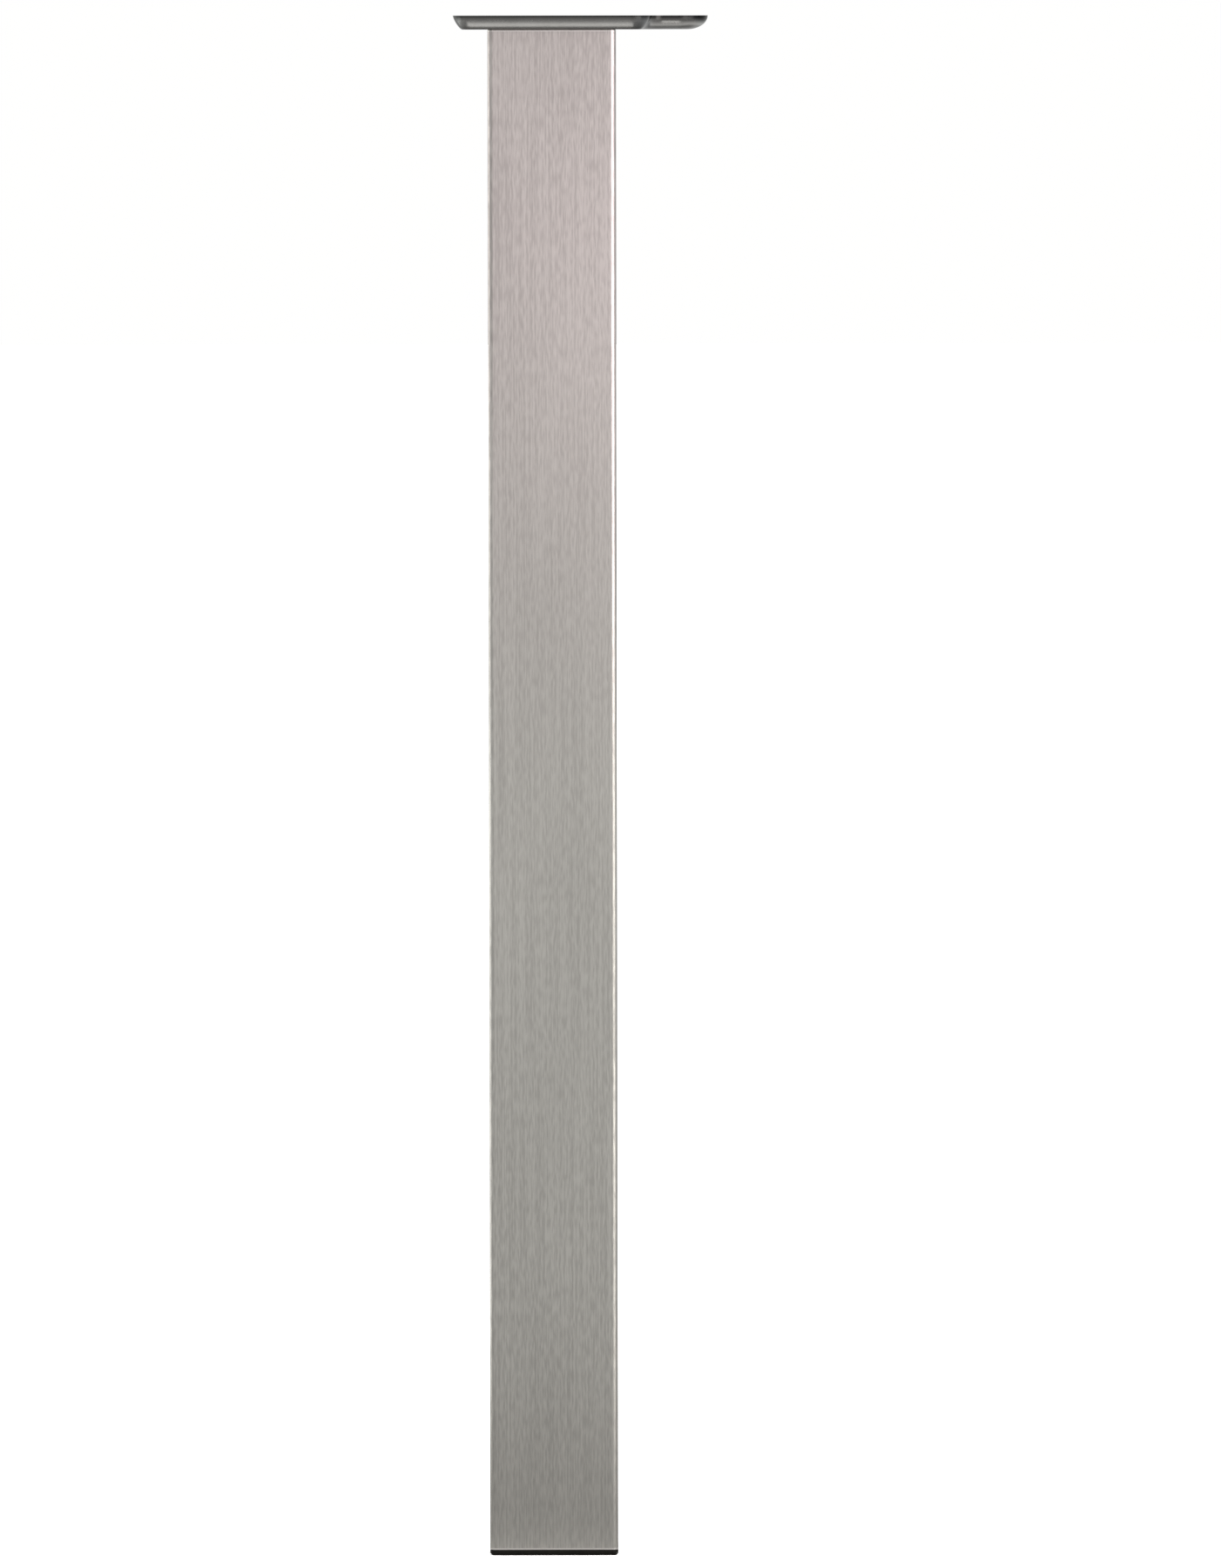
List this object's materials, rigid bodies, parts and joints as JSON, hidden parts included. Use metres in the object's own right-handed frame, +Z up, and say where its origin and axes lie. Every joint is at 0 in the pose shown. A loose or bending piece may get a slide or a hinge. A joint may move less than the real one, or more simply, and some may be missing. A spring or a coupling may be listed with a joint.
{
  "type": "square table leg",
  "caption": "Square brushed metal table leg with a rimmed screw-on plate at the top and a black height-adjusting foot.",
  "frame": {"origin": "on the tube's axis at the underside of the foot, in the mouth of the key hole, with the foot screwed fully in", "axes": "+Z up along the tube, -Y towards the front face in the picture, +X to the right in the picture; the plate's lobe reaches towards +X and +Y"},
  "size_m": [0.119, 0.119, 0.72],
  "materials": {
    "tube_metal": "brushed along the tube",
    "plate_metal": "satin plated",
    "plain_steel": "mill finish",
    "plated_steel": "bright zinc plated",
    "black_plastic": "moulded, fine texture"
  },
  "bodies": {
    "leg": {"leg_tube": "tube_metal", "mounting_plate": "plate_metal", "head_plate": "plain_steel", "plate_screws": "plated_steel", "bottom_plug": "black_plastic", "spindle_nut": "plated_steel"},
    "foot": {"foot_pad": "black_plastic", "retaining_ring": "plated_steel"},
    "spindle": {"adjusting_spindle": "plated_steel", "end_stop_nut": "plated_steel"}
  },
  "joints": [
    {"name": "foot_height", "type": "slide", "parent": "leg", "child": "foot", "axis": [0, 0, -1], "range_m": [0, 0.02]},
    {"name": "spindle_turn", "type": "hinge", "parent": "foot", "child": "spindle", "pos_m": [0, 0, 0.0036], "axis": [0, 0, -1], "range_deg": [0, 4800]}
  ],
  "couplings": [
    {"joint": "spindle_turn", "follows": "foot_height", "rad_per_m": 4188.8}
  ]
}
